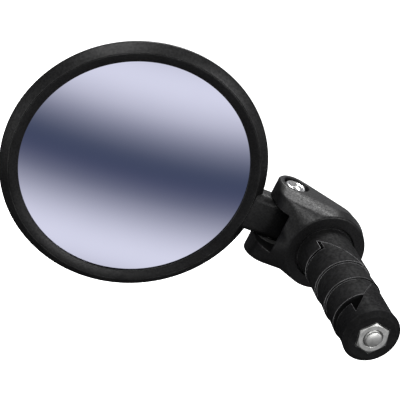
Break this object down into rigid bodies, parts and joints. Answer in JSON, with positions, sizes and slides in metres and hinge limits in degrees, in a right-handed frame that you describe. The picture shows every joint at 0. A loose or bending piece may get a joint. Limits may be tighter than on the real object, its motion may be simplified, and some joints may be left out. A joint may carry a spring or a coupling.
{
  "type": "bar-end bicycle mirror",
  "caption": "Round bar-end bicycle mirror on a hinged arm, with a swivelling clevis knuckle and an expanding plug that clamps inside the handlebar.",
  "frame": {"origin": "on the plug's axis, in the plane of the knuckle's ring-shaped face that meets the end of the handlebar", "axes": "-Y runs along the plug into the handlebar, the tilt hinge is parallel to +Z, and the mirror head lies towards -X with its glass facing -Y"},
  "size_m": [0.1302, 0.0889, 0.093],
  "materials": {
    "black_plastic": "matte",
    "bezel_plastic": "satin",
    "mirror_silver": "polished",
    "rubber": "matte",
    "washer_nylon": "satin",
    "zinc_plate": "satin",
    "chrome": "polished"
  },
  "bodies": {
    "plug": {"plug_stub": "black_plastic", "swivel_washer": "rubber", "clamp_washer": "zinc_plate"},
    "knuckle_body": {"knuckle": "black_plastic", "pivot_bolt": "chrome", "pivot_nut": "zinc_plate", "friction_washer_upper": "washer_nylon", "friction_washer_lower": "washer_nylon"},
    "head": {"mirror_housing": "black_plastic", "mirror_bezel": "bezel_plastic", "mirror_glass": "mirror_silver", "glass_pad": "rubber"},
    "bolt": {"expander_bolt": "zinc_plate"},
    "wedge": {"expander_wedge": "black_plastic", "expander_nut": "zinc_plate"},
    "sleeve": {"expander_sleeve": "black_plastic"}
  },
  "joints": [
    {"name": "knuckle_swivel", "type": "hinge", "parent": "plug", "child": "knuckle_body", "pos_m": [0, 0, 0], "axis": [0, 1, 0], "continuous": true},
    {"name": "mirror_tilt", "type": "hinge", "parent": "knuckle_body", "child": "head", "pos_m": [-0.0131, 0.0173, 0], "axis": [0, 0, 1], "range_deg": [-90, 40]},
    {"name": "bolt_turn", "type": "hinge", "parent": "plug", "child": "bolt", "pos_m": [0, 0, 0], "axis": [0, 1, 0], "range_deg": [0, 576]},
    {"name": "wedge_slide", "type": "slide", "parent": "plug", "child": "wedge", "axis": [0, 1, 0], "range_m": [0, 0.0016]},
    {"name": "sleeve_slide", "type": "slide", "parent": "plug", "child": "sleeve", "axis": [-0.5614, 0.8137, -0.1504], "range_m": [0, 0.000983]}
  ],
  "couplings": [
    {"joint": "bolt_turn", "follows": "wedge_slide", "rad_per_m": 6283.2},
    {"joint": "sleeve_slide", "follows": "wedge_slide", "ratio": 0.61437}
  ]
}
